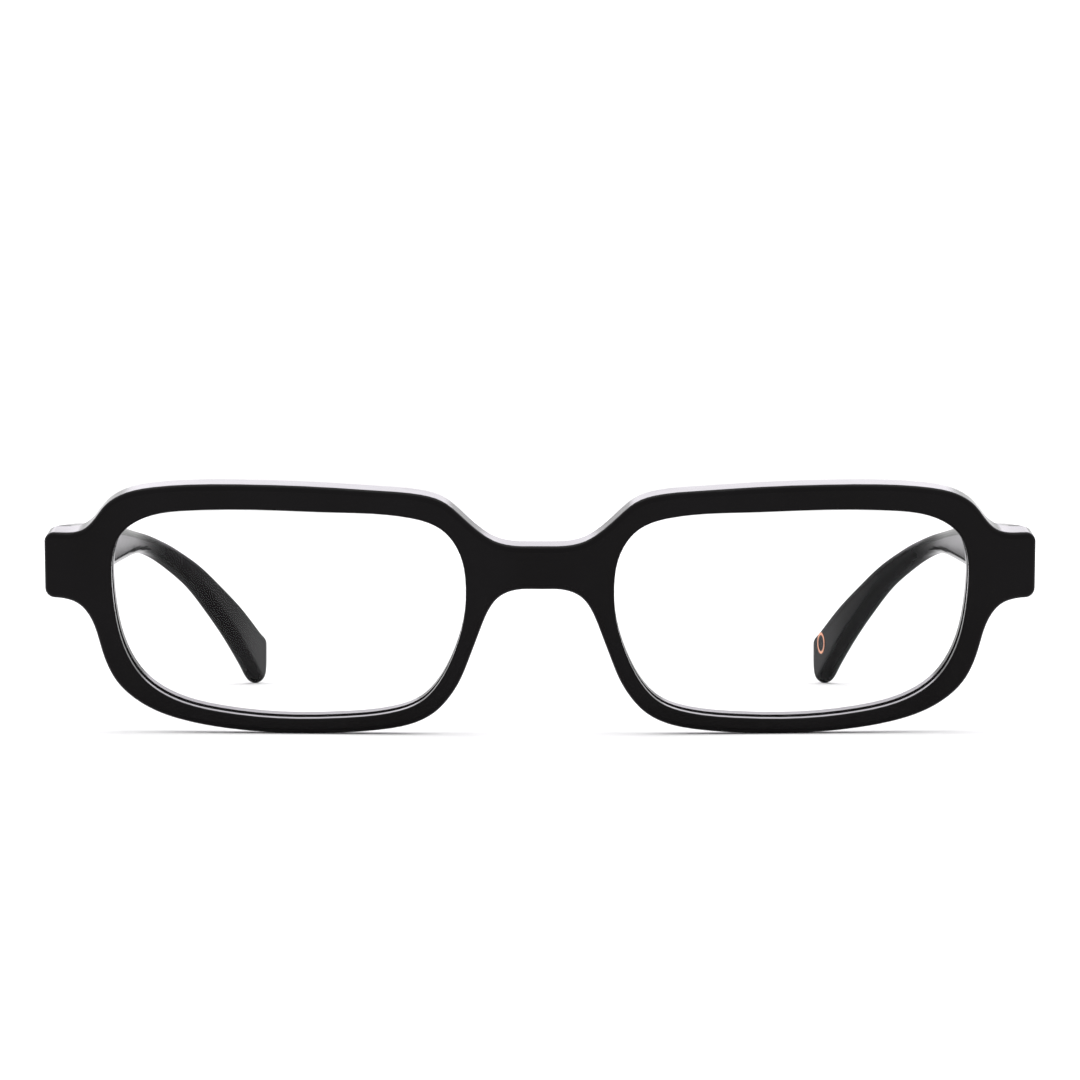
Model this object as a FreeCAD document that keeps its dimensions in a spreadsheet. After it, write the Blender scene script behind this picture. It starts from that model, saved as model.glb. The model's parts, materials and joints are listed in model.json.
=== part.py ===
import FreeCAD, Part
import math
import os

# Eyeglasses: an acetate front with two temples on five-barrel hinges, all in millimetres.
# +Z is up, the front looks along -Y and the temples run back along +Y. The wearer's left is +X.
# The front leans forward, so it and everything fixed to it is drawn upright in a tilted frame:
# x across, y back from the middle of the front face, z up the front from its lowest edge.

Vector = FreeCAD.Vector

SIZES = {
    "front_tilt": 9.0,             # degrees the top of the front leans forward
    "front_setback": 67.9,         # puts the whole object's footprint on the origin
    "front_lift": -0.379,          # brings the rims' lowest edge down to the ground
    "front_bow": 290.0,            # radius of the front face seen from above
    "front_thickness": 4.8,
    "front_edge_round": 0.8,
    "aperture_round": 0.4,
    "end_half_width": 69.15,
    "end_corner": 1.4,
    "end_block_inner": 61.3,       # where the end block's inner wall leaves the back face
    "butt_depth": 13.5,            # how far back the end block's joint face is
    "butt_gap": 0.12,
    "groove_depth": 0.55,
    "lens_setback": 1.3,           # lens face behind the front face
    "lens_thickness": 1.7,
    "lens_bevel": 0.45,
    "pad_protrusion": 4.4,
    "hinge_axis_x": 63.2,
    "hinge_axis_y": 14.85,
    "hinge_axis_z": 22.7,
    "barrel_radius": 1.25,
    "barrel_height": 1.15,
    "barrel_gap": 0.06,
    "screw_radius": 0.65,
    "screw_clearance": 0.05,
    "screw_head_radius": 1.1,
    "screw_head_height": 0.6,
    "slot_width": 0.3,
    "slot_depth": 0.3,
    "leaf_thickness": 0.8,
    "plate_half_height": 3.1,
    "temple_plate_length": 10.0,
    "tooth_length": 1.4,           # along the temple
    "tooth_height": 3.2,
    "tooth_depth": 2.2,
    "plate_reach": 4.3,            # the front leaf's plate, outward from the hinge axis
    "anchor_middle": 1.75,
    "anchor_stem_length": 2.0,
    "anchor_stem_width": 1.7,
    "anchor_stem_height": 3.6,
    "anchor_foot_length": 1.0,
    "anchor_foot_width": 3.1,
    "anchor_foot_height": 4.6,
    "inlay_radius": 1.8,
    "inlay_depth": 0.6,
    "inlay_stand": 0.12,           # how far the dot stands out of the face
    "well_clear": 120.0,           # a length that passes every edge of the object
}

# Half outline of the front, from the middle to the end piece, as (x, z).
TOP_EDGE = [(0, 26.8), (3.5, 26.85), (5.9, 27.35), (8.3, 28.75), (10.9, 31.05), (13.4, 33.0),
            (16.6, 33.95), (22, 34.4), (30, 34.8), (40, 34.95), (48, 34.75), (54, 34.15),
            (58.1, 33.05), (60.5, 31.4), (62.2, 29.2), (63.9, 27.8), (65.9, 27.35)]
BOTTOM_EDGE = [(0, 20.75), (3.5, 20.6), (5.7, 19.6), (7.3, 17.4), (8.5, 14.4), (9.7, 11.2),
               (11.1, 7.8), (12.6, 5.4), (14.6, 3.3), (17.2, 1.85), (22, 0.75), (29, 0.15),
               (36, 0), (43, 0.35), (49, 1.2), (54.2, 2.8), (57.2, 4.6), (59.2, 6.6),
               (60.4, 8.7), (61.2, 10.9), (61.9, 13.4), (62.9, 15.7), (64.4, 17.3), (66.3, 17.95)]
END_TOP = 27.35
END_BOTTOM = 18.05

# Lens opening on the wearer's left, all the way round, as (x, z).
APERTURE = [(59.6, 20.5), (59.1, 15.5), (57.7, 10.7), (55.2, 7.0), (51.0, 4.35), (44.5, 2.8),
            (36, 2.15), (27, 2.45), (20.3, 3.35), (16.4, 4.95), (13.9, 7.7), (11.9, 11.7),
            (10.6, 16.2), (10.25, 20.8), (11.0, 25.5), (13.5, 29.0), (18.4, 30.75), (29, 31.3),
            (40, 31.45), (48.6, 31.1), (54.8, 29.9), (58.3, 27.3)]

# Nose pad on the wearer's left, seen from the front, as (x, z).
PAD_OUTLINE = [(8.9, 17.6), (10.2, 16.4), (11.1, 13.3), (12.2, 10.2), (13.3, 7.6), (13.9, 6.0),
               (12.9, 6.1), (11.5, 8.0), (10.2, 11.1), (9.0, 14.4), (8.2, 16.8)]

# Temple edges behind the hinge: (y, z) from the side, then (x, y) from above.
TEMPLE_TOP = [(30, 28.75), (55, 28.25), (78, 27.3), (92, 26.4), (100, 25.5), (106, 23.9),
              (113, 20.9), (120.5, 17.1), (129, 12.9), (137.4, 8.75)]
TEMPLE_BOTTOM = [(30, 20.2), (55, 21.2), (78, 22.2), (92, 22.8), (98, 22.8), (104, 21.5),
                 (113, 16.9), (120.5, 11.8), (128, 6.5), (134, 2.4), (137.4, 0.1)]
TEMPLE_INNER = [(64.6, 30), (64.3, 57), (63.6, 80), (62.7, 93), (60.9, 101), (58.2, 107),
                (55.1, 113), (51.9, 120.5), (49.0, 128.5), (45.2, 142)]
TEMPLE_OUTER = [(68.9, 30), (68.4, 57), (67.5, 80), (66.5, 93), (64.5, 101), (61.6, 107),
                (58.4, 113), (55.1, 120.5), (52.1, 128.5), (48.2, 142)]
TIP_CORNER = (140.6, 6.2)
TIP_HEEL = (139.3, 0.9)
TIP_TOP_ROUND = (139.8, 7.9)
HEEL_ROUND = (138.7, 0.18)

# Middle of the temple's wire core: (y, z) from the side, then (x, y) from above.
CORE_SIDE = [(24, 24.4), (55, 24.8), (78, 24.8), (93, 24.6), (101, 23.7), (107, 21.8),
             (113, 18.9), (120.5, 14.4), (131, 8.2)]
CORE_PLAN = [(66.7, 24), (66.4, 57), (65.6, 80), (64.6, 93), (62.7, 101), (59.9, 107),
             (56.8, 113), (53.5, 120.5), (49.8, 131)]
CORE_HALF_HEIGHT = 0.8
CORE_HALF_WIDTH = 0.5

INLAY_CENTRE = (135.2, 6.8)

# Where the temple leaf's teeth begin, back from the hinge axis.
TOOTH_STARTS = (2.6, 6.4)

# Lengths as expressions over the sheet.
THROUGH = "sizes.well_clear"
KNUCKLE_SLOT = "sizes.barrel_height + 2 * sizes.barrel_gap"
BARREL_LENGTH = "5 * sizes.barrel_height + 4 * sizes.barrel_gap"
MIDDLE_THREE = "3 * sizes.barrel_height + 2 * sizes.barrel_gap"


doc = FreeCAD.newDocument("eyeglasses")
sheet = doc.addObject("Spreadsheet::Sheet", "sizes")
for row, (alias, number) in enumerate(SIZES.items(), start=1):
    sheet.set(f"A{row}", alias)
    sheet.set(f"B{row}", str(number))
    sheet.setAlias(f"B{row}", alias)
doc.recompute()


def size(alias):
    """A size from the sheet."""
    return float(sheet.get(alias))


def front_frame():
    """The tilted frame that everything on the front is drawn in."""
    origin = Vector(0, -size("front_setback"), size("front_lift"))
    return FreeCAD.Placement(origin, FreeCAD.Rotation(Vector(1, 0, 0), size("front_tilt")))


def temple_frame():
    """The level frame that the temples are drawn in."""
    return FreeCAD.Placement(Vector(0, -size("front_setback"), 0), FreeCAD.Rotation())


def hinge_frame(side):
    """The tilted frame centred in one hinge, on its axis."""
    middle = Vector(side * size("hinge_axis_x"), size("hinge_axis_y"), size("hinge_axis_z"))
    return front_frame().multiply(FreeCAD.Placement(middle, FreeCAD.Rotation()))


def front_to_level(y, z):
    """A point of the front's frame as (y, z) in the temples' frame."""
    tilt = math.radians(size("front_tilt"))
    level_y = y * math.cos(tilt) - z * math.sin(tilt)
    level_z = y * math.sin(tilt) + z * math.cos(tilt) + size("front_lift")
    return level_y, level_z


def point(pair):
    """A sketch point."""
    return Vector(pair[0], pair[1], 0)


def mirrored(points, side):
    """The points on the given side, +1 as drawn or -1 swapped across the middle."""
    return [(side * x, other) for x, other in points]


def spline(points, level_ends=False):
    """An open smooth curve through the points, leaving both ends level if asked."""
    curve = Part.BSplineCurve()
    curve.interpolate(Points=[point(p) for p in points])
    if level_ends:
        poles = curve.getPoles()
        last = len(poles)
        curve.setPole(2, Vector(poles[1].x, poles[0].y, 0))
        curve.setPole(last - 1, Vector(poles[-2].x, poles[-1].y, 0))
    return curve


def closed_spline(points):
    """A closed smooth curve through the points."""
    curve = Part.BSplineCurve()
    curve.interpolate(Points=[point(p) for p in points], PeriodicFlag=True)
    return curve


def line(a, b):
    """A straight sketch line."""
    return Part.LineSegment(point(a), point(b))


def arc(a, middle, b):
    """A sketch arc through three points."""
    return Part.Arc(point(a), point(middle), point(b))


def circle(radius, centre=(0, 0)):
    """A sketch circle."""
    return Part.Circle(point(centre), Vector(0, 0, 1), radius)


def polygon(points):
    """Straight lines round the points."""
    return [line(a, b) for a, b in zip(points, points[1:] + points[:1])]


def box_outline(low, high):
    """A rectangle between two opposite corners."""
    return polygon([low, (high[0], low[1]), high, (low[0], high[1])])


def grown(points, distance):
    """Points of a closed outline moved outward along its normals."""
    curve = closed_spline(points)
    centre_x = sum(x for x, z in points) / len(points)
    centre_z = sum(z for x, z in points) / len(points)
    moved = []
    for x, z in points:
        tangent = curve.tangent(curve.parameter(point((x, z))))[0]
        normal = Vector(tangent.y, -tangent.x, 0)
        if normal.x * (x - centre_x) + normal.y * (z - centre_z) < 0:
            normal = normal * -1
        moved.append((x + distance * normal.x, z + distance * normal.y))
    return moved


def new_body(name, placement):
    """An empty body."""
    body = doc.addObject("PartDesign::Body", name)
    body.Label = name
    body.Placement = placement
    return body


def new_sketch(body, role, curves, height):
    """A sketch of the curves, parallel to one of the body's own planes at a height."""
    sketch = body.newObject("Sketcher::SketchObject", body.Name + "_outline")
    plane = [item for item in body.Origin.OriginFeatures if item.Role == role][0]
    sketch.AttachmentSupport = [(plane, "")]
    sketch.MapMode = "FlatFace"
    sketch.setExpression(".AttachmentOffset.Base.z", height)
    for curve in curves:
        sketch.addGeometry(curve, False)
    return sketch


def pad(body, role, curves, length, height="0", reverse=False, symmetric=False):
    """Material added along the plane's normal, with sizes given as sheet expressions."""
    feature = body.newObject("PartDesign::Pad", body.Name + "_pad")
    feature.Profile = new_sketch(body, role, curves, height)
    feature.setExpression("Length", length)
    feature.Reversed = reverse
    if symmetric:
        feature.SideType = "Symmetric"
    doc.recompute()
    return feature


def pocket(body, role, curves, length, height="0", reverse=False, symmetric=False):
    """Material removed against the plane's normal, with sizes given as sheet expressions."""
    before = body.Shape.Volume
    feature = body.newObject("PartDesign::Pocket", body.Name + "_pocket")
    feature.Profile = new_sketch(body, role, curves, height)
    feature.setExpression("Length", length)
    feature.Reversed = reverse
    if symmetric:
        feature.SideType = "Symmetric"
    doc.recompute()
    if body.Shape.Volume >= before:
        raise ValueError(f"{feature.Name} cuts nothing")
    return feature


def rounded(body, kind, edges, alias):
    """A fillet or chamfer on the chosen edges."""
    tip = body.Tip
    feature = body.newObject("PartDesign::" + kind, body.Name + "_" + kind.lower())
    feature.Base = (tip, edges)
    feature.setExpression("Radius" if kind == "Fillet" else "Size", "sizes." + alias)
    doc.recompute()
    return feature


def chosen_edges(shape, test):
    """Names of the edges whose every sample point passes the test."""
    names = []
    for number, edge in enumerate(shape.Edges, start=1):
        if all(test(edge, sample) for sample in edge.discretize(5)):
            names.append(f"Edge{number}")
    return names


def cut(name, base, tools):
    """The base with every tool's space taken out of it."""
    whole = base
    for number, tool in enumerate(tools, start=1):
        last = number == len(tools)
        step = doc.addObject("Part::Cut", name if last else f"{name}_step_{number}")
        step.Base = whole
        step.Tool = tool
        whole = step
    whole.Label = name
    doc.recompute()
    return whole


def bow_back(x, radius):
    """How far back a bowed surface with this radius is at x."""
    centre = size("front_bow")
    return centre - math.sqrt(radius * radius - x * x)


def frame_rectangle():
    """A rectangle well clear of the front seen from above."""
    return box_outline((-90, -70), (90, 70))


def front_outline():
    """The front's outline and its two lens openings."""
    half_width = size("end_half_width")
    corner = size("end_corner")
    inset = corner * (1 - math.sqrt(0.5))
    inner = half_width - corner
    top = TOP_EDGE + [(inner, END_TOP)]
    bottom = BOTTOM_EDGE + [(inner, END_BOTTOM)]
    curves = [
        spline(mirrored(top[:0:-1], -1) + top, level_ends=True),
        spline(mirrored(bottom[:0:-1], -1) + bottom, level_ends=True),
    ]
    for side in (-1, 1):
        upper = (side * half_width, END_TOP - corner)
        lower = (side * half_width, END_BOTTOM + corner)
        upper_middle = (side * (half_width - inset), END_TOP - inset)
        lower_middle = (side * (half_width - inset), END_BOTTOM + inset)
        curves.append(arc((side * inner, END_TOP), upper_middle, upper))
        curves.append(line(upper, lower))
        curves.append(arc(lower, lower_middle, (side * inner, END_BOTTOM)))
        curves.append(closed_spline(mirrored(APERTURE, side)))
    return curves


def front_plan():
    """The bowed front and its two end blocks, seen from above."""
    radius = size("front_bow")
    back = radius - size("front_thickness")
    inner = size("end_block_inner")
    butt = size("butt_depth")
    wide = size("end_half_width") + 3
    curves = [arc((-wide, bow_back(wide, radius)), (0, 0), (wide, bow_back(wide, radius)))]
    root = inner - 1.5
    curves.append(arc((-root, bow_back(root, back)), (0, size("front_thickness")),
                      (root, bow_back(root, back))))
    for side in (-1, 1):
        root_point = (side * root, bow_back(root, back))
        wall_point = (side * inner, bow_back(root, back) + 1.3)
        blend = (side * (inner - 0.42), bow_back(root, back) + 0.36)
        butt_point = (side * (inner + 0.2), butt)
        outer_point = (side * wide, butt)
        curves.append(arc(root_point, blend, wall_point))
        curves.append(line(wall_point, butt_point))
        curves.append(line(butt_point, outer_point))
        curves.append(line(outer_point, (side * wide, bow_back(wide, radius))))
    return curves


def make_front_blank():
    """The front before the lens grooves and hinge pockets are cut."""
    body = new_body("front_blank", front_frame())
    pad(body, "XZ_Plane", front_outline(), THROUGH, symmetric=True)
    pocket(body, "XY_Plane", frame_rectangle() + front_plan(), THROUGH, symmetric=True)
    bow = size("front_bow")

    def on_face(sample):
        return abs(math.hypot(sample.x, bow - sample.y) - bow) < 0.01

    def outer_edge(edge, sample):
        return on_face(sample) and not edge.isClosed()

    def aperture_edge(edge, sample):
        return on_face(sample) and edge.isClosed()

    rounded(body, "Fillet", chosen_edges(body.Tip.Shape, outer_edge), "front_edge_round")
    rounded(body, "Fillet", chosen_edges(body.Tip.Shape, aperture_edge), "aperture_round")
    return body


def shell_plan(front_radius, back_radius, half_width):
    """The band between two bowed surfaces, seen from above."""
    front_y = bow_back(half_width, front_radius)
    back_y = bow_back(half_width, back_radius)
    centre = size("front_bow")
    return [
        arc((-half_width, front_y), (0, centre - front_radius), (half_width, front_y)),
        line((half_width, front_y), (half_width, back_y)),
        arc((half_width, back_y), (0, centre - back_radius), (-half_width, back_y)),
        line((-half_width, back_y), (-half_width, front_y)),
    ]


def make_lens(name, side):
    """A bevelled lens that fills its groove in the rim."""
    body = new_body(name, front_frame())
    outline = closed_spline(mirrored(grown(APERTURE, size("groove_depth")), side))
    pad(body, "XZ_Plane", [outline], THROUGH, symmetric=True)
    face_radius = size("front_bow") - size("lens_setback")
    back_radius = face_radius - size("lens_thickness")
    band = shell_plan(face_radius, back_radius, 80)
    pocket(body, "XY_Plane", frame_rectangle() + band, THROUGH, symmetric=True)
    rim = chosen_edges(body.Tip.Shape, lambda edge, sample: edge.isClosed())
    rounded(body, "Chamfer", rim, "lens_bevel")
    return body


def make_pad_blank(name, side):
    """A drop-shaped nose pad that runs into the rim it is bonded to."""
    body = new_body(name + "_blank", front_frame())
    outline = closed_spline(mirrored(PAD_OUTLINE, side))
    pad(body, "XZ_Plane", [outline], "sizes.pad_protrusion + 1", "1 - sizes.front_thickness",
        reverse=True)
    return body


def knuckle_bottom(index):
    """Height of one knuckle's lower face above the hinge centre, counted from the lowest."""
    return f"(({index} - 2.5) * sizes.barrel_height + ({index} - 2) * sizes.barrel_gap)"


def knuckle_gaps(body, indices):
    """Slots round the barrel that leave room for the other leaf's knuckles."""
    wide = 2 * size("barrel_radius")
    floor = size("butt_depth") - size("hinge_axis_y")
    slot = box_outline((-wide, floor), (wide, wide))
    for index in indices:
        bottom = knuckle_bottom(index) + " - sizes.barrel_gap"
        pocket(body, "XY_Plane", slot, KNUCKLE_SLOT, bottom, reverse=True)


def make_front_leaf(name, side):
    """Three knuckles on a plate let into the joint face, with an anchor behind it."""
    body = new_body(name, hinge_frame(side))
    radius = size("barrel_radius")
    plate_front = size("butt_depth") - size("hinge_axis_y")
    plate_back = plate_front - size("leaf_thickness")
    stem_end = plate_back - size("anchor_stem_length")
    foot_end = stem_end - size("anchor_foot_length")
    root = plate_back + 0.2
    knuckle = [
        arc((radius, 0), (0, radius), (-radius, 0)),
        line((-radius, 0), (-radius, root)),
        line((-radius, root), (radius, root)),
        line((radius, root), (radius, 0)),
    ]
    pad(body, "XY_Plane", knuckle, BARREL_LENGTH, symmetric=True)
    knuckle_gaps(body, (1, 3))
    plate = box_outline((-side * radius, plate_back), (side * size("plate_reach"), plate_front))
    middle = side * size("anchor_middle")
    stem_half = size("anchor_stem_width") / 2
    foot_half = size("anchor_foot_width") / 2
    stem = box_outline((middle - stem_half, stem_end), (middle + stem_half, plate_back))
    foot = box_outline((middle - foot_half, foot_end), (middle + foot_half, stem_end))
    pad(body, "XY_Plane", plate, "2 * sizes.plate_half_height", symmetric=True)
    pad(body, "XY_Plane", stem, "sizes.anchor_stem_height", symmetric=True)
    pad(body, "XY_Plane", foot, "sizes.anchor_foot_height", symmetric=True)
    clear = size("screw_radius") + size("screw_clearance")
    thread_top = knuckle_bottom(0) + " + sizes.barrel_height"
    pocket(body, "XY_Plane", [circle(clear)], THROUGH, thread_top, reverse=True)
    pocket(body, "XY_Plane", [circle(size("screw_radius"))], THROUGH, symmetric=True)
    return body


def make_temple_leaf(name, side):
    """Two knuckles on a plate let into the temple's inner face, with two teeth."""
    body = new_body(name, hinge_frame(side))
    radius = size("barrel_radius")
    face = TEMPLE_INNER[0][0] - size("hinge_axis_x")
    drop = math.tan(math.radians(size("front_tilt")))
    web = box_outline((0, 0.1 - radius), (side * (face + 0.4), radius))
    pad(body, "XY_Plane", [circle(radius)], MIDDLE_THREE, symmetric=True)
    pad(body, "XY_Plane", web, MIDDLE_THREE, symmetric=True)
    wide = 2 * radius
    slot = box_outline((-side * wide, -wide), (side * face, wide))
    slot_bottom = knuckle_bottom(2) + " - sizes.barrel_gap"
    pocket(body, "XY_Plane", slot, KNUCKLE_SLOT, slot_bottom, reverse=True)
    half = size("plate_half_height") - 0.3
    length = size("temple_plate_length")
    start = 0.15 - radius
    plate = [(start, -half), (length, -half - drop * length), (length, half - drop * length),
             (start, half)]
    depth = f"{side} * ({TEMPLE_INNER[0][0]} - sizes.hinge_axis_x)"
    pad(body, "YZ_Plane", polygon(plate), "sizes.leaf_thickness", depth, reverse=side < 0)
    tooth_length = size("tooth_length")
    tooth_half = size("tooth_height") / 2
    for tooth_start in TOOTH_STARTS:
        middle = -drop * (tooth_start + tooth_length / 2)
        tooth = box_outline((tooth_start, middle - tooth_half),
                            (tooth_start + tooth_length, middle + tooth_half))
        pad(body, "YZ_Plane", tooth, "sizes.tooth_depth", depth, reverse=side < 0)
    clear = size("screw_radius") + size("screw_clearance")
    pocket(body, "XY_Plane", [circle(clear)], THROUGH, symmetric=True)
    return body


def make_screw(name, side):
    """A slotted screw down the hinge's axis."""
    body = new_body(name, hinge_frame(side))
    top = "(" + BARREL_LENGTH + ") / 2"
    pad(body, "XY_Plane", [circle(size("screw_radius"))], BARREL_LENGTH, "-" + top)
    pad(body, "XY_Plane", [circle(size("screw_head_radius"))], "sizes.screw_head_height", top)
    half_length = size("screw_head_radius") + 1
    half_width = size("slot_width") / 2
    slot = box_outline((-half_length, -half_width), (half_length, half_width))
    slot_floor = top + " + sizes.screw_head_height - sizes.slot_depth"
    pocket(body, "XY_Plane", slot, THROUGH, slot_floor, reverse=True)
    return body


def temple_side_curves():
    """The temple's outline from the side."""
    gap_face = size("butt_depth") + size("butt_gap")
    upper = front_to_level(gap_face, END_TOP)
    lower = front_to_level(gap_face, END_BOTTOM)
    heel = TEMPLE_BOTTOM[-1]
    return [
        spline([upper] + TEMPLE_TOP),
        arc(TEMPLE_TOP[-1], TIP_TOP_ROUND, TIP_CORNER),
        line(TIP_CORNER, TIP_HEEL),
        arc(TIP_HEEL, HEEL_ROUND, heel),
        spline([heel] + TEMPLE_BOTTOM[-2::-1] + [lower]),
        line(lower, upper),
    ]


def band_curves(first, second):
    """A closed outline between two open edges that run the same way."""
    return [spline(first), line(first[-1], second[-1]),
            spline(second[::-1]), line(second[0], first[0])]


def shifted(points, step):
    """The points moved by a step."""
    return [(a + step[0], b + step[1]) for a, b in points]


def temple_rectangle(side):
    """A rectangle well clear of one temple seen from above."""
    return box_outline((-side * 10, -30), (side * 140, 180))


def make_temple_blank(name, side):
    """A temple before its hinge leaf, core and inlay are let in."""
    body = new_body(name + "_blank", temple_frame())
    pad(body, "YZ_Plane", temple_side_curves(), THROUGH, reverse=side < 0)
    inner = [(TEMPLE_INNER[0][0], 0)] + TEMPLE_INNER
    outer = [(TEMPLE_OUTER[0][0], 0)] + TEMPLE_OUTER
    band = band_curves(mirrored(inner, side), mirrored(outer, side))
    pocket(body, "XY_Plane", temple_rectangle(side) + band, THROUGH, symmetric=True)
    return body


def make_core(name, side):
    """The flat wire inside a temple."""
    body = new_body(name, temple_frame())
    lower = shifted(CORE_SIDE, (0, -CORE_HALF_HEIGHT))
    upper = shifted(CORE_SIDE, (0, CORE_HALF_HEIGHT))
    pad(body, "YZ_Plane", band_curves(lower, upper), THROUGH, reverse=side < 0)
    inner = shifted(CORE_PLAN, (-CORE_HALF_WIDTH, 0))
    outer = shifted(CORE_PLAN, (CORE_HALF_WIDTH, 0))
    ends = band_curves(mirrored(inner, side), mirrored(outer, side))
    pocket(body, "XY_Plane", temple_rectangle(side) + ends, THROUGH, symmetric=True)
    return body


def inlay_frame():
    """A frame on the inner face near the tip, x along the temple and z out of the face."""
    first, second = TEMPLE_INNER[-2:]
    along = Vector(second[0] - first[0], second[1] - first[1], 0).normalize()
    share = (INLAY_CENTRE[0] - first[1]) / (second[1] - first[1])
    centre_x = first[0] + share * (second[0] - first[0])
    inward = Vector(-along.y, along.x, 0)
    middle = Vector(centre_x, INLAY_CENTRE[0] - size("front_setback"), INLAY_CENTRE[1])
    turn = FreeCAD.Rotation(along, Vector(0, 0, 1), inward, "ZXY")
    return FreeCAD.Placement(middle, turn)


def make_inlay(name):
    """A plain metal disc let into the tip's inner face."""
    body = new_body(name, inlay_frame())
    pad(body, "XY_Plane", [circle(size("inlay_radius"))],
        "sizes.inlay_depth + sizes.inlay_stand", "-sizes.inlay_depth")
    return body


def make_parts():
    """Every sub-part, in the order they are written."""
    blank = make_front_blank()
    parts = []
    front_tools = []
    for side, word in ((1, "left"), (-1, "right")):
        lens = make_lens("lens_" + word, side)
        leaf = make_front_leaf("hinge_front_leaf_" + word, side)
        front_tools += [lens, leaf]
        pad_blank = make_pad_blank("nose_pad_" + word, side)
        nose_pad = cut("nose_pad_" + word, pad_blank, [blank])
        temple_leaf = make_temple_leaf("hinge_temple_leaf_" + word, side)
        screw = make_screw("hinge_screw_" + word, side)
        core = make_core("temple_core_" + word, side)
        temple_tools = [temple_leaf, core]
        if side > 0:
            inlay = make_inlay("temple_tip_inlay")
            temple_tools.append(inlay)
            parts.append(inlay)
        temple_blank = make_temple_blank("temple_" + word, side)
        temple = cut("temple_" + word, temple_blank, temple_tools)
        parts += [lens, leaf, nose_pad, temple_leaf, screw, core, temple]
    parts.append(cut("front", blank, front_tools))
    return parts


def write_parts(parts):
    """Checks everything, then writes one STEP file per sub-part."""
    for item in doc.Objects:
        if "Invalid" in item.State or "Error" in item.State:
            raise ValueError(f"{item.Name} is {item.State}")
    os.makedirs("parts", exist_ok=True)
    for part in parts:
        shape = part.Shape
        if shape.isNull() or not shape.isValid() or len(shape.Solids) != 1:
            raise ValueError(f"{part.Label} is not one valid solid")
        print(part.Label, round(shape.Volume, 2), shape.BoundBox)
        shape.exportStep(f"parts/{part.Label}.step")


write_parts(make_parts())
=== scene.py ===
import json
import math
import bpy
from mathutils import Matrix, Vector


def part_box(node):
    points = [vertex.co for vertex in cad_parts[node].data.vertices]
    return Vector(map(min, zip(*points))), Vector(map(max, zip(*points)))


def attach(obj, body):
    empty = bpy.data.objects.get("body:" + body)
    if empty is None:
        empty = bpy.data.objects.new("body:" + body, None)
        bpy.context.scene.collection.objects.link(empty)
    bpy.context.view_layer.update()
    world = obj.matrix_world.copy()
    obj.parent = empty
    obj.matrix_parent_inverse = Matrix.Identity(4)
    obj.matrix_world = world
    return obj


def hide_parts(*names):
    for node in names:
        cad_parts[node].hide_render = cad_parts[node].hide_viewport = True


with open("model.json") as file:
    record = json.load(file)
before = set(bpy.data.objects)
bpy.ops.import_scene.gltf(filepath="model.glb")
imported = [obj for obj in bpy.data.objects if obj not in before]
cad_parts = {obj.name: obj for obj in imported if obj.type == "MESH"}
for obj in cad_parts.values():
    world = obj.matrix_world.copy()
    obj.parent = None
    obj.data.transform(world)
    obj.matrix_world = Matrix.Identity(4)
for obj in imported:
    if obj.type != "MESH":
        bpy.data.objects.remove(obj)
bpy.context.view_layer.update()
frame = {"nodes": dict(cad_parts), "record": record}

# The camera stands just above the rims' tops, about two thirds of a metre in front of them.
CAMERA_AT = (0.0, -0.7179, 0.0411)
CAMERA_DOWN = math.radians(1.244)
CAMERA_LENS = 156.5

# Black enamel fills the tip's metal dot and ends between these two radii, in metres.
ENAMEL_EDGE = (0.00134, 0.00144)


def make_camera():
    """A long lens that looks almost level at the front."""
    data = bpy.data.cameras.new("camera")
    data.lens = CAMERA_LENS
    data.sensor_width = 36.0
    data.clip_start = 0.01
    data.clip_end = 20.0
    camera = bpy.data.objects.new("camera", data)
    camera.location = CAMERA_AT
    camera.rotation_euler = (math.radians(90) - CAMERA_DOWN, 0.0, 0.0)
    bpy.context.scene.collection.objects.link(camera)
    bpy.context.scene.camera = camera


def new_material(name):
    """An empty material with its principled shader."""
    material = bpy.data.materials.new(name)
    material.use_nodes = True
    return material, material.node_tree, material.node_tree.nodes["Principled BSDF"]


def noise(tree, scale, detail=3.0, roughness=0.5):
    """Noise in object space, in metres."""
    where = tree.nodes.new("ShaderNodeTexCoord")
    texture = tree.nodes.new("ShaderNodeTexNoise")
    texture.inputs["Scale"].default_value = scale
    texture.inputs["Detail"].default_value = detail
    texture.inputs["Roughness"].default_value = roughness
    tree.links.new(where.outputs["Object"], texture.inputs["Vector"])
    return texture.outputs["Fac"]


def ramp(tree, factor, low, high, start=0.35, end=0.65):
    """A blend between two colours over part of a factor's range."""
    node = tree.nodes.new("ShaderNodeValToRGB")
    node.color_ramp.elements[0].position = start
    node.color_ramp.elements[0].color = (*low, 1.0)
    node.color_ramp.elements[1].position = end
    node.color_ramp.elements[1].color = (*high, 1.0)
    tree.links.new(factor, node.inputs["Fac"])
    return node.outputs["Color"]


def spread(tree, factor, low, high):
    """A factor turned into a range of values."""
    node = tree.nodes.new("ShaderNodeMapRange")
    node.inputs["To Min"].default_value = low
    node.inputs["To Max"].default_value = high
    tree.links.new(factor, node.inputs["Value"])
    return node.outputs["Result"]


def bump(tree, shader, height, strength, distance):
    """Relief from a height, in metres."""
    node = tree.nodes.new("ShaderNodeBump")
    node.inputs["Strength"].default_value = strength
    node.inputs["Distance"].default_value = distance
    tree.links.new(height, node.inputs["Height"])
    tree.links.new(node.outputs["Normal"], shader.inputs["Normal"])


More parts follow.
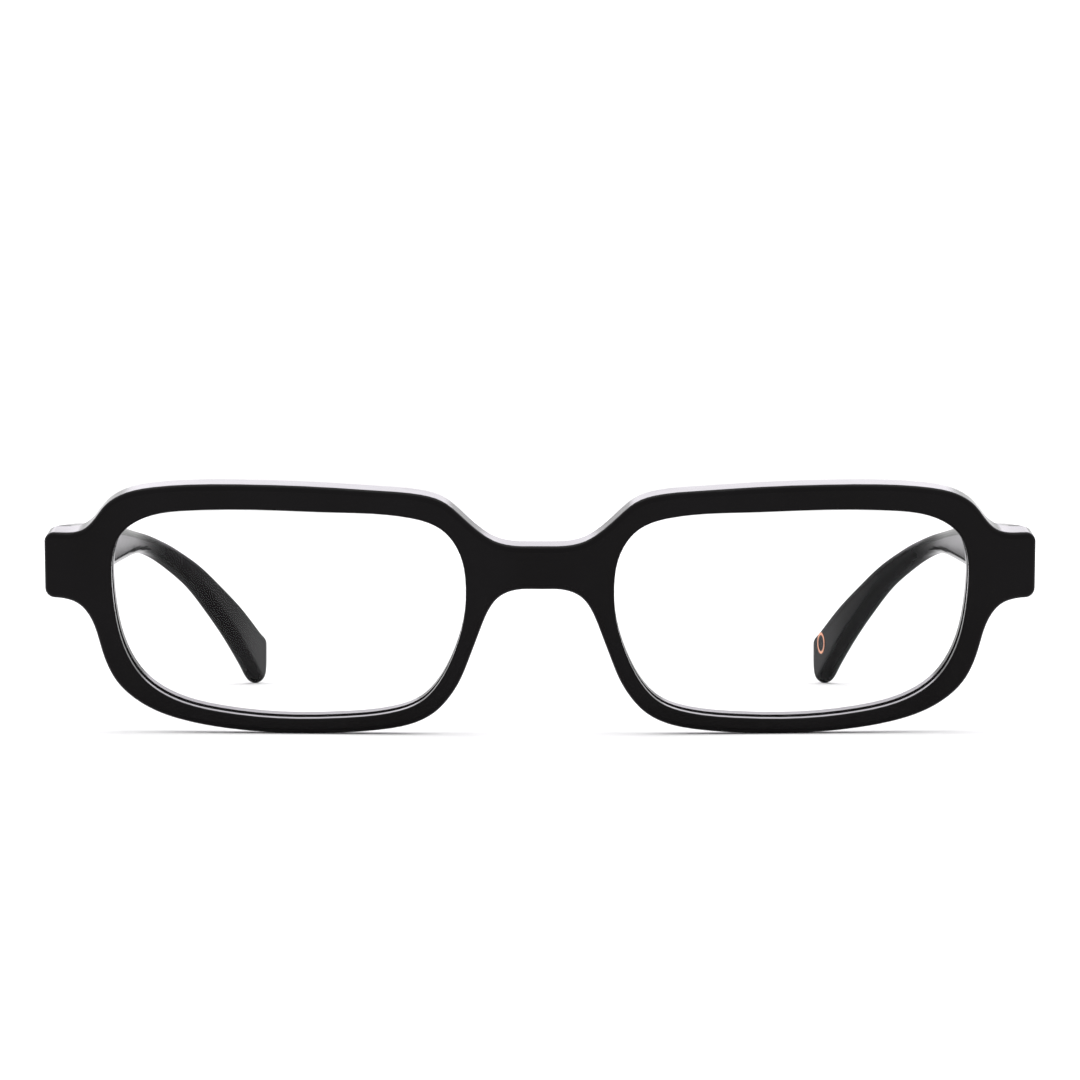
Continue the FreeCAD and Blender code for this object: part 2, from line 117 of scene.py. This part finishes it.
def acetate(name, gloss):
    """Polished black acetate: deep black with a faint cloud and fine buffing marks."""
    material, tree, shader = new_material(name)
    cloud = noise(tree, 60.0)
    tone = ramp(tree, cloud, (0.0026, 0.0021, 0.0023), (0.0038, 0.0033, 0.0038))
    tree.links.new(tone, shader.inputs["Base Color"])
    smear = noise(tree, 420.0, 4.0, 0.6)
    tree.links.new(spread(tree, smear, 0.09, 0.17), shader.inputs["Roughness"])
    shader.inputs["IOR"].default_value = 1.49
    shader.inputs["Specular IOR Level"].default_value = gloss
    bump(tree, shader, noise(tree, 900.0, 2.0), 0.02, 0.00002)
    return material


def clear_lens():
    """Clear lens, thin enough to show straight through, with the faintest smear."""
    material, tree, shader = new_material("clear_lens")
    shader.inputs["Base Color"].default_value = (0.10, 0.11, 0.11, 1.0)
    shader.inputs["IOR"].default_value = 1.49
    shader.inputs["Alpha"].default_value = 0.03
    smear = noise(tree, 90.0, 4.0)
    tree.links.new(spread(tree, smear, 0.02, 0.08), shader.inputs["Roughness"])
    return material


def metal(name, low, high, rough, grain):
    """Satin metal with fine grain and slight tarnish."""
    material, tree, shader = new_material(name)
    shader.inputs["Metallic"].default_value = 1.0
    tree.links.new(ramp(tree, noise(tree, grain * 0.2), low, high), shader.inputs["Base Color"])
    fine = noise(tree, grain, 4.0)
    tree.links.new(spread(tree, fine, *rough), shader.inputs["Roughness"])
    bump(tree, shader, fine, 0.15, 0.00002)
    return material


def ringed_dot(material):
    """Fills the middle of the tip's metal dot with black enamel, which leaves a plain ring."""
    tree = material.node_tree
    shader = tree.nodes["Principled BSDF"]
    low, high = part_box("temple_tip_inlay")
    where = tree.nodes.new("ShaderNodeTexCoord")
    reach = tree.nodes.new("ShaderNodeVectorMath")
    reach.operation = "DISTANCE"
    reach.inputs[1].default_value = (low + high) / 2
    tree.links.new(where.outputs["Object"], reach.inputs[0])
    inside = tree.nodes.new("ShaderNodeMapRange")
    inside.inputs["From Min"].default_value = ENAMEL_EDGE[0]
    inside.inputs["From Max"].default_value = ENAMEL_EDGE[1]
    tree.links.new(reach.outputs["Value"], inside.inputs["Value"])
    mix = tree.nodes.new("ShaderNodeMix")
    mix.data_type = "RGBA"
    mix.inputs["A"].default_value = (0.006, 0.005, 0.006, 1.0)
    shader.inputs["Specular IOR Level"].default_value = 0.02
    metal_tone = shader.inputs["Base Color"].links[0].from_socket
    tree.links.new(inside.outputs["Result"], mix.inputs["Factor"])
    tree.links.new(metal_tone, mix.inputs["B"])
    tree.links.new(mix.outputs["Result"], shader.inputs["Base Color"])
    tree.links.new(inside.outputs["Result"], shader.inputs["Metallic"])
    return material


def paper_floor():
    """White studio sweep."""
    material, tree, shader = new_material("studio_white")
    tone = ramp(tree, noise(tree, 3.0), (0.93, 0.93, 0.93), (0.95, 0.95, 0.95))
    tree.links.new(tone, shader.inputs["Base Color"])
    shader.inputs["Roughness"].default_value = 0.9
    shader.inputs["Specular IOR Level"].default_value = 0.1
    return material


def smooth(piece, angle=32.0):
    """Welds a piece's face borders and smooths its shading across soft edges."""
    weld = piece.modifiers.new("weld", "WELD")
    weld.merge_threshold = 1e-6
    bpy.context.view_layer.objects.active = piece
    for other in bpy.context.selected_objects:
        other.select_set(False)
    piece.select_set(True)
    bpy.ops.object.shade_auto_smooth(angle=math.radians(angle))
    even = piece.modifiers.new("even", "WEIGHTED_NORMAL")
    even.mode = "FACE_AREA_WITH_ANGLE"
    even.keep_sharp = True


# Temple edges behind the hinge in millimetres, measured back from the middle of the front:
# (back, height) from the side and (back, distance from the middle) from above.
SETBACK = 67.9
TOP = [(9.2, 28.83), (30, 28.75), (55, 28.25), (78, 27.3), (92, 26.4), (100, 25.5),
       (106, 23.9), (113, 20.9), (120.5, 17.1), (129, 12.9), (137.4, 8.75), (139.8, 7.75),
       (140.5, 6.7), (140.6, 6.0)]
BOTTOM = [(9.2, 19.6), (30, 20.2), (55, 21.2), (78, 22.2), (92, 22.8), (98, 22.8),
          (104, 21.5), (113, 16.9), (120.5, 11.8), (128, 6.5), (134, 2.4), (137.4, 0.12),
          (138.8, 0.35), (139.6, 2.2), (140.6, 5.8)]
INNER = [(9.2, 64.62), (30, 64.62), (57, 64.3), (80, 63.6), (93, 62.7), (101, 60.9),
         (107, 58.2), (113, 55.1), (120.5, 51.9), (128.5, 49.0), (142, 45.2)]
OUTER = [(9.2, 68.9), (30, 68.9), (57, 68.4), (80, 67.5), (93, 66.5), (101, 64.5),
         (107, 61.6), (113, 58.4), (120.5, 55.1), (128.5, 52.1), (142, 48.2)]
EDGE_ROUND = 1.45
CORNER_POINTS = 7
SIDE_POINTS = 3

# The temple's joint face leans with the front, about its own middle height, and the lean fades
# out behind it. A small bevel runs round the face.
BUTT_AT = 10.0
BUTT_SLOPE = math.tan(math.radians(9.0))
BUTT_MIDDLE = 24.2
BUTT_FADE = 16.0
BUTT_BEVEL = 0.12
BUTT_BEVEL_LENGTH = 0.4

# The tip thins in a rounded nose over its last stretch.
TIP_END = 140.7
TIP_NOSE = 2.2
TIP_THINNEST = 0.35
LOWEST_HALF_HEIGHT = 0.05


def along(points, at):
    """The smooth height of a row of points at one place along it."""
    last = len(points) - 2
    index = min(max(sum(1 for p in points if p[0] <= at) - 1, 0), last)

    def slope(k):
        low, high = max(k - 1, 0), min(k + 1, len(points) - 1)
        return (points[high][1] - points[low][1]) / (points[high][0] - points[low][0])

    (a, low), (b, high) = points[index], points[index + 1]
    width = b - a
    t = (at - a) / width
    start, end = slope(index) * width, slope(index + 1) * width
    return (low * (2 * t ** 3 - 3 * t ** 2 + 1) + start * (t ** 3 - 2 * t ** 2 + t)
            + high * (3 * t ** 2 - 2 * t ** 3) + end * (t ** 3 - t ** 2))


def rounded_section(half_width, half_height):
    """Points round a rectangle with rounded corners, counted the same way every time."""
    radius = min(EDGE_ROUND, half_width * 0.98, half_height * 0.98)
    across, up = half_width - radius, half_height - radius
    corners = []
    for quarter, (x, z) in enumerate([(across, up), (-across, up), (-across, -up), (across, -up)]):
        angles = [math.pi / 2 * (quarter + step / (CORNER_POINTS - 1))
                  for step in range(CORNER_POINTS)]
        corners.append([(x + radius * math.cos(a), z + radius * math.sin(a)) for a in angles])
    ring = []
    for corner, following in zip(corners, corners[1:] + corners[:1]):
        ring += corner
        (start_x, start_z), (end_x, end_z) = corner[-1], following[0]
        for step in range(1, SIDE_POINTS + 1):
            share = step / (SIDE_POINTS + 1)
            ring.append((start_x + share * (end_x - start_x), start_z + share * (end_z - start_z)))
    return ring


def stepped(start, step, count):
    """Evenly spaced places."""
    return [start + step * number for number in range(count)]


def temple_stations():
    """Places along the temple, closer together at the bend and closest at the tip."""
    butt = [BUTT_AT, BUTT_AT + 0.15, BUTT_AT + BUTT_BEVEL_LENGTH]
    shaft = stepped(BUTT_AT + 2.0, 2.5, 32)
    bend = stepped(91.0, 1.2, 36)
    paddle = stepped(134.0, 0.6, 6)
    tip = [137.4, 137.9, 138.4, 138.9, 139.3, 139.7, 140.0, 140.2, 140.35, 140.45, 140.52]
    return sorted(butt + shaft + bend + paddle + tip)


def temple_ring(place, side):
    """One rounded section of a temple, as points in metres."""
    top, bottom = along(TOP, place), along(BOTTOM, place)
    inner, outer = along(INNER, place), along(OUTER, place)
    lean = max(0.0, 1.0 - (place - BUTT_AT) / BUTT_FADE) * BUTT_SLOPE
    inset = BUTT_BEVEL * (1.0 - min(1.0, (place - BUTT_AT) / BUTT_BEVEL_LENGTH))
    nose = min(1.0, max(0.0, (TIP_END - place) / TIP_NOSE))
    fullness = TIP_THINNEST + (1.0 - TIP_THINNEST) * math.sqrt(1.0 - (1.0 - nose) ** 2)
    half_width = ((outer - inner) / 2 - inset) * fullness
    half_height = max((top - bottom) / 2 - inset, LOWEST_HALF_HEIGHT)
    ring = []
    for x, z in rounded_section(half_width, half_height):
        height = (top + bottom) / 2 + z
        back = place + lean * (BUTT_MIDDLE - height) - SETBACK
        ring.append((side * ((inner + outer) / 2 + x) / 1000, back / 1000, height / 1000))
    return ring


def loft_faces(rings, count, flip):
    """Quads between neighbouring rings and one flat face at each end."""
    faces = []
    for row in range(rings - 1):
        for k in range(count):
            low, high = row * count + k, row * count + (k + 1) % count
            faces.append((low, high, high + count, low + count))
    faces.append(tuple(range(count))[::-1])
    faces.append(tuple(range((rings - 1) * count, rings * count)))
    return [face[::-1] for face in faces] if flip else faces


def make_temple(name, side, material):
    """A polished temple with softly rounded edges, in place of the plain CAD solid."""
    rings = [temple_ring(place, side) for place in temple_stations()]
    points = [point for ring in rings for point in ring]
    mesh = bpy.data.meshes.new(name)
    mesh.from_pydata(points, [], loft_faces(len(rings), len(rings[0]), flip=side > 0))
    mesh.update()
    piece = bpy.data.objects.new(name, mesh)
    bpy.context.scene.collection.objects.link(piece)
    mesh.materials.append(material)
    smooth(piece, 50.0)
    return piece


def make_temples(material):
    """Both temples, each riding on its own body."""
    for side, word in ((1, "left"), (-1, "right")):
        piece = make_temple("temple_skin_" + word, side, material)
        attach(piece, "temple_" + word)
        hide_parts("temple_" + word)


def area_light(name, location, target, size, power, colour=(1.0, 1.0, 1.0)):
    """A soft box pointed at a target."""
    data = bpy.data.lights.new(name, "AREA")
    data.shape = "RECTANGLE"
    data.size, data.size_y = size
    data.energy = power
    data.color = colour
    lamp = bpy.data.objects.new(name, data)
    lamp.location = location
    aim = [t - l for t, l in zip(target, location)]
    heading = math.atan2(aim[0], aim[1])
    drop = math.atan2(-aim[2], math.hypot(aim[0], aim[1]))
    lamp.rotation_euler = (math.radians(90) - drop, 0.0, -heading)
    bpy.context.scene.collection.objects.link(lamp)


def make_studio():
    """White floor, white surroundings and two soft boxes."""
    bpy.ops.mesh.primitive_plane_add(size=12.0, location=(0.0, 0.0, 0.0))
    floor = bpy.context.object
    floor.name = "studio_floor"
    floor.data.materials.append(paper_floor())
    world = bpy.data.worlds.new("studio")
    world.use_nodes = True
    sky = world.node_tree.nodes["Background"]
    sky.inputs["Color"].default_value = (1.0, 1.0, 1.0, 1.0)
    sky.inputs["Strength"].default_value = 1.12
    bpy.context.scene.world = world
    area_light("overhead", location=(0.0, 0.1, 1.2), target=(0.0, 0.0, 0.0),
               size=(1.4, 1.0), power=4.0)
    area_light("rear_softbox", location=(0.0, 1.5, 0.85), target=(0.0, 0.0, 0.02),
               size=(2.6, 0.9), power=15.0, colour=(0.96, 0.91, 1.0))


def make_looks():
    """The material of each slot."""
    rose = metal("rose_metal", low=(0.50, 0.19, 0.10), high=(0.66, 0.28, 0.15),
                 rough=(0.18, 0.34), grain=2600.0)
    return {
        "black_acetate": acetate("black_acetate", gloss=0.075),
        "clear_lens": clear_lens(),
        "hinge_steel": metal("hinge_steel", low=(0.50, 0.49, 0.47), high=(0.62, 0.61, 0.58),
                             rough=(0.22, 0.4), grain=3000.0),
        "screw_steel": metal("screw_steel", low=(0.60, 0.60, 0.60), high=(0.72, 0.72, 0.71),
                             rough=(0.14, 0.3), grain=3500.0),
        "core_wire": metal("core_wire", low=(0.48, 0.47, 0.45), high=(0.58, 0.57, 0.55),
                           rough=(0.25, 0.4), grain=2500.0),
        "rose_metal": ringed_dot(rose),
    }


def dress_nodes():
    """Gives every CAD node its material, and the hinge pieces and the tip's inlay smooth shading.
    """
    looks = make_looks()
    slots = {entry["node"]: entry["material_slot"] for entry in frame["record"]["subparts"]}
    for name, piece in frame["nodes"].items():
        for slot in piece.material_slots:
            slot.material = looks[slots[name]]
        if name.startswith("hinge") or name == "temple_tip_inlay":
            smooth(piece)


make_camera()
make_studio()
make_temples(acetate("temple_acetate", gloss=0.02))
dress_nodes()
bpy.context.scene.view_settings.view_transform = "Standard"
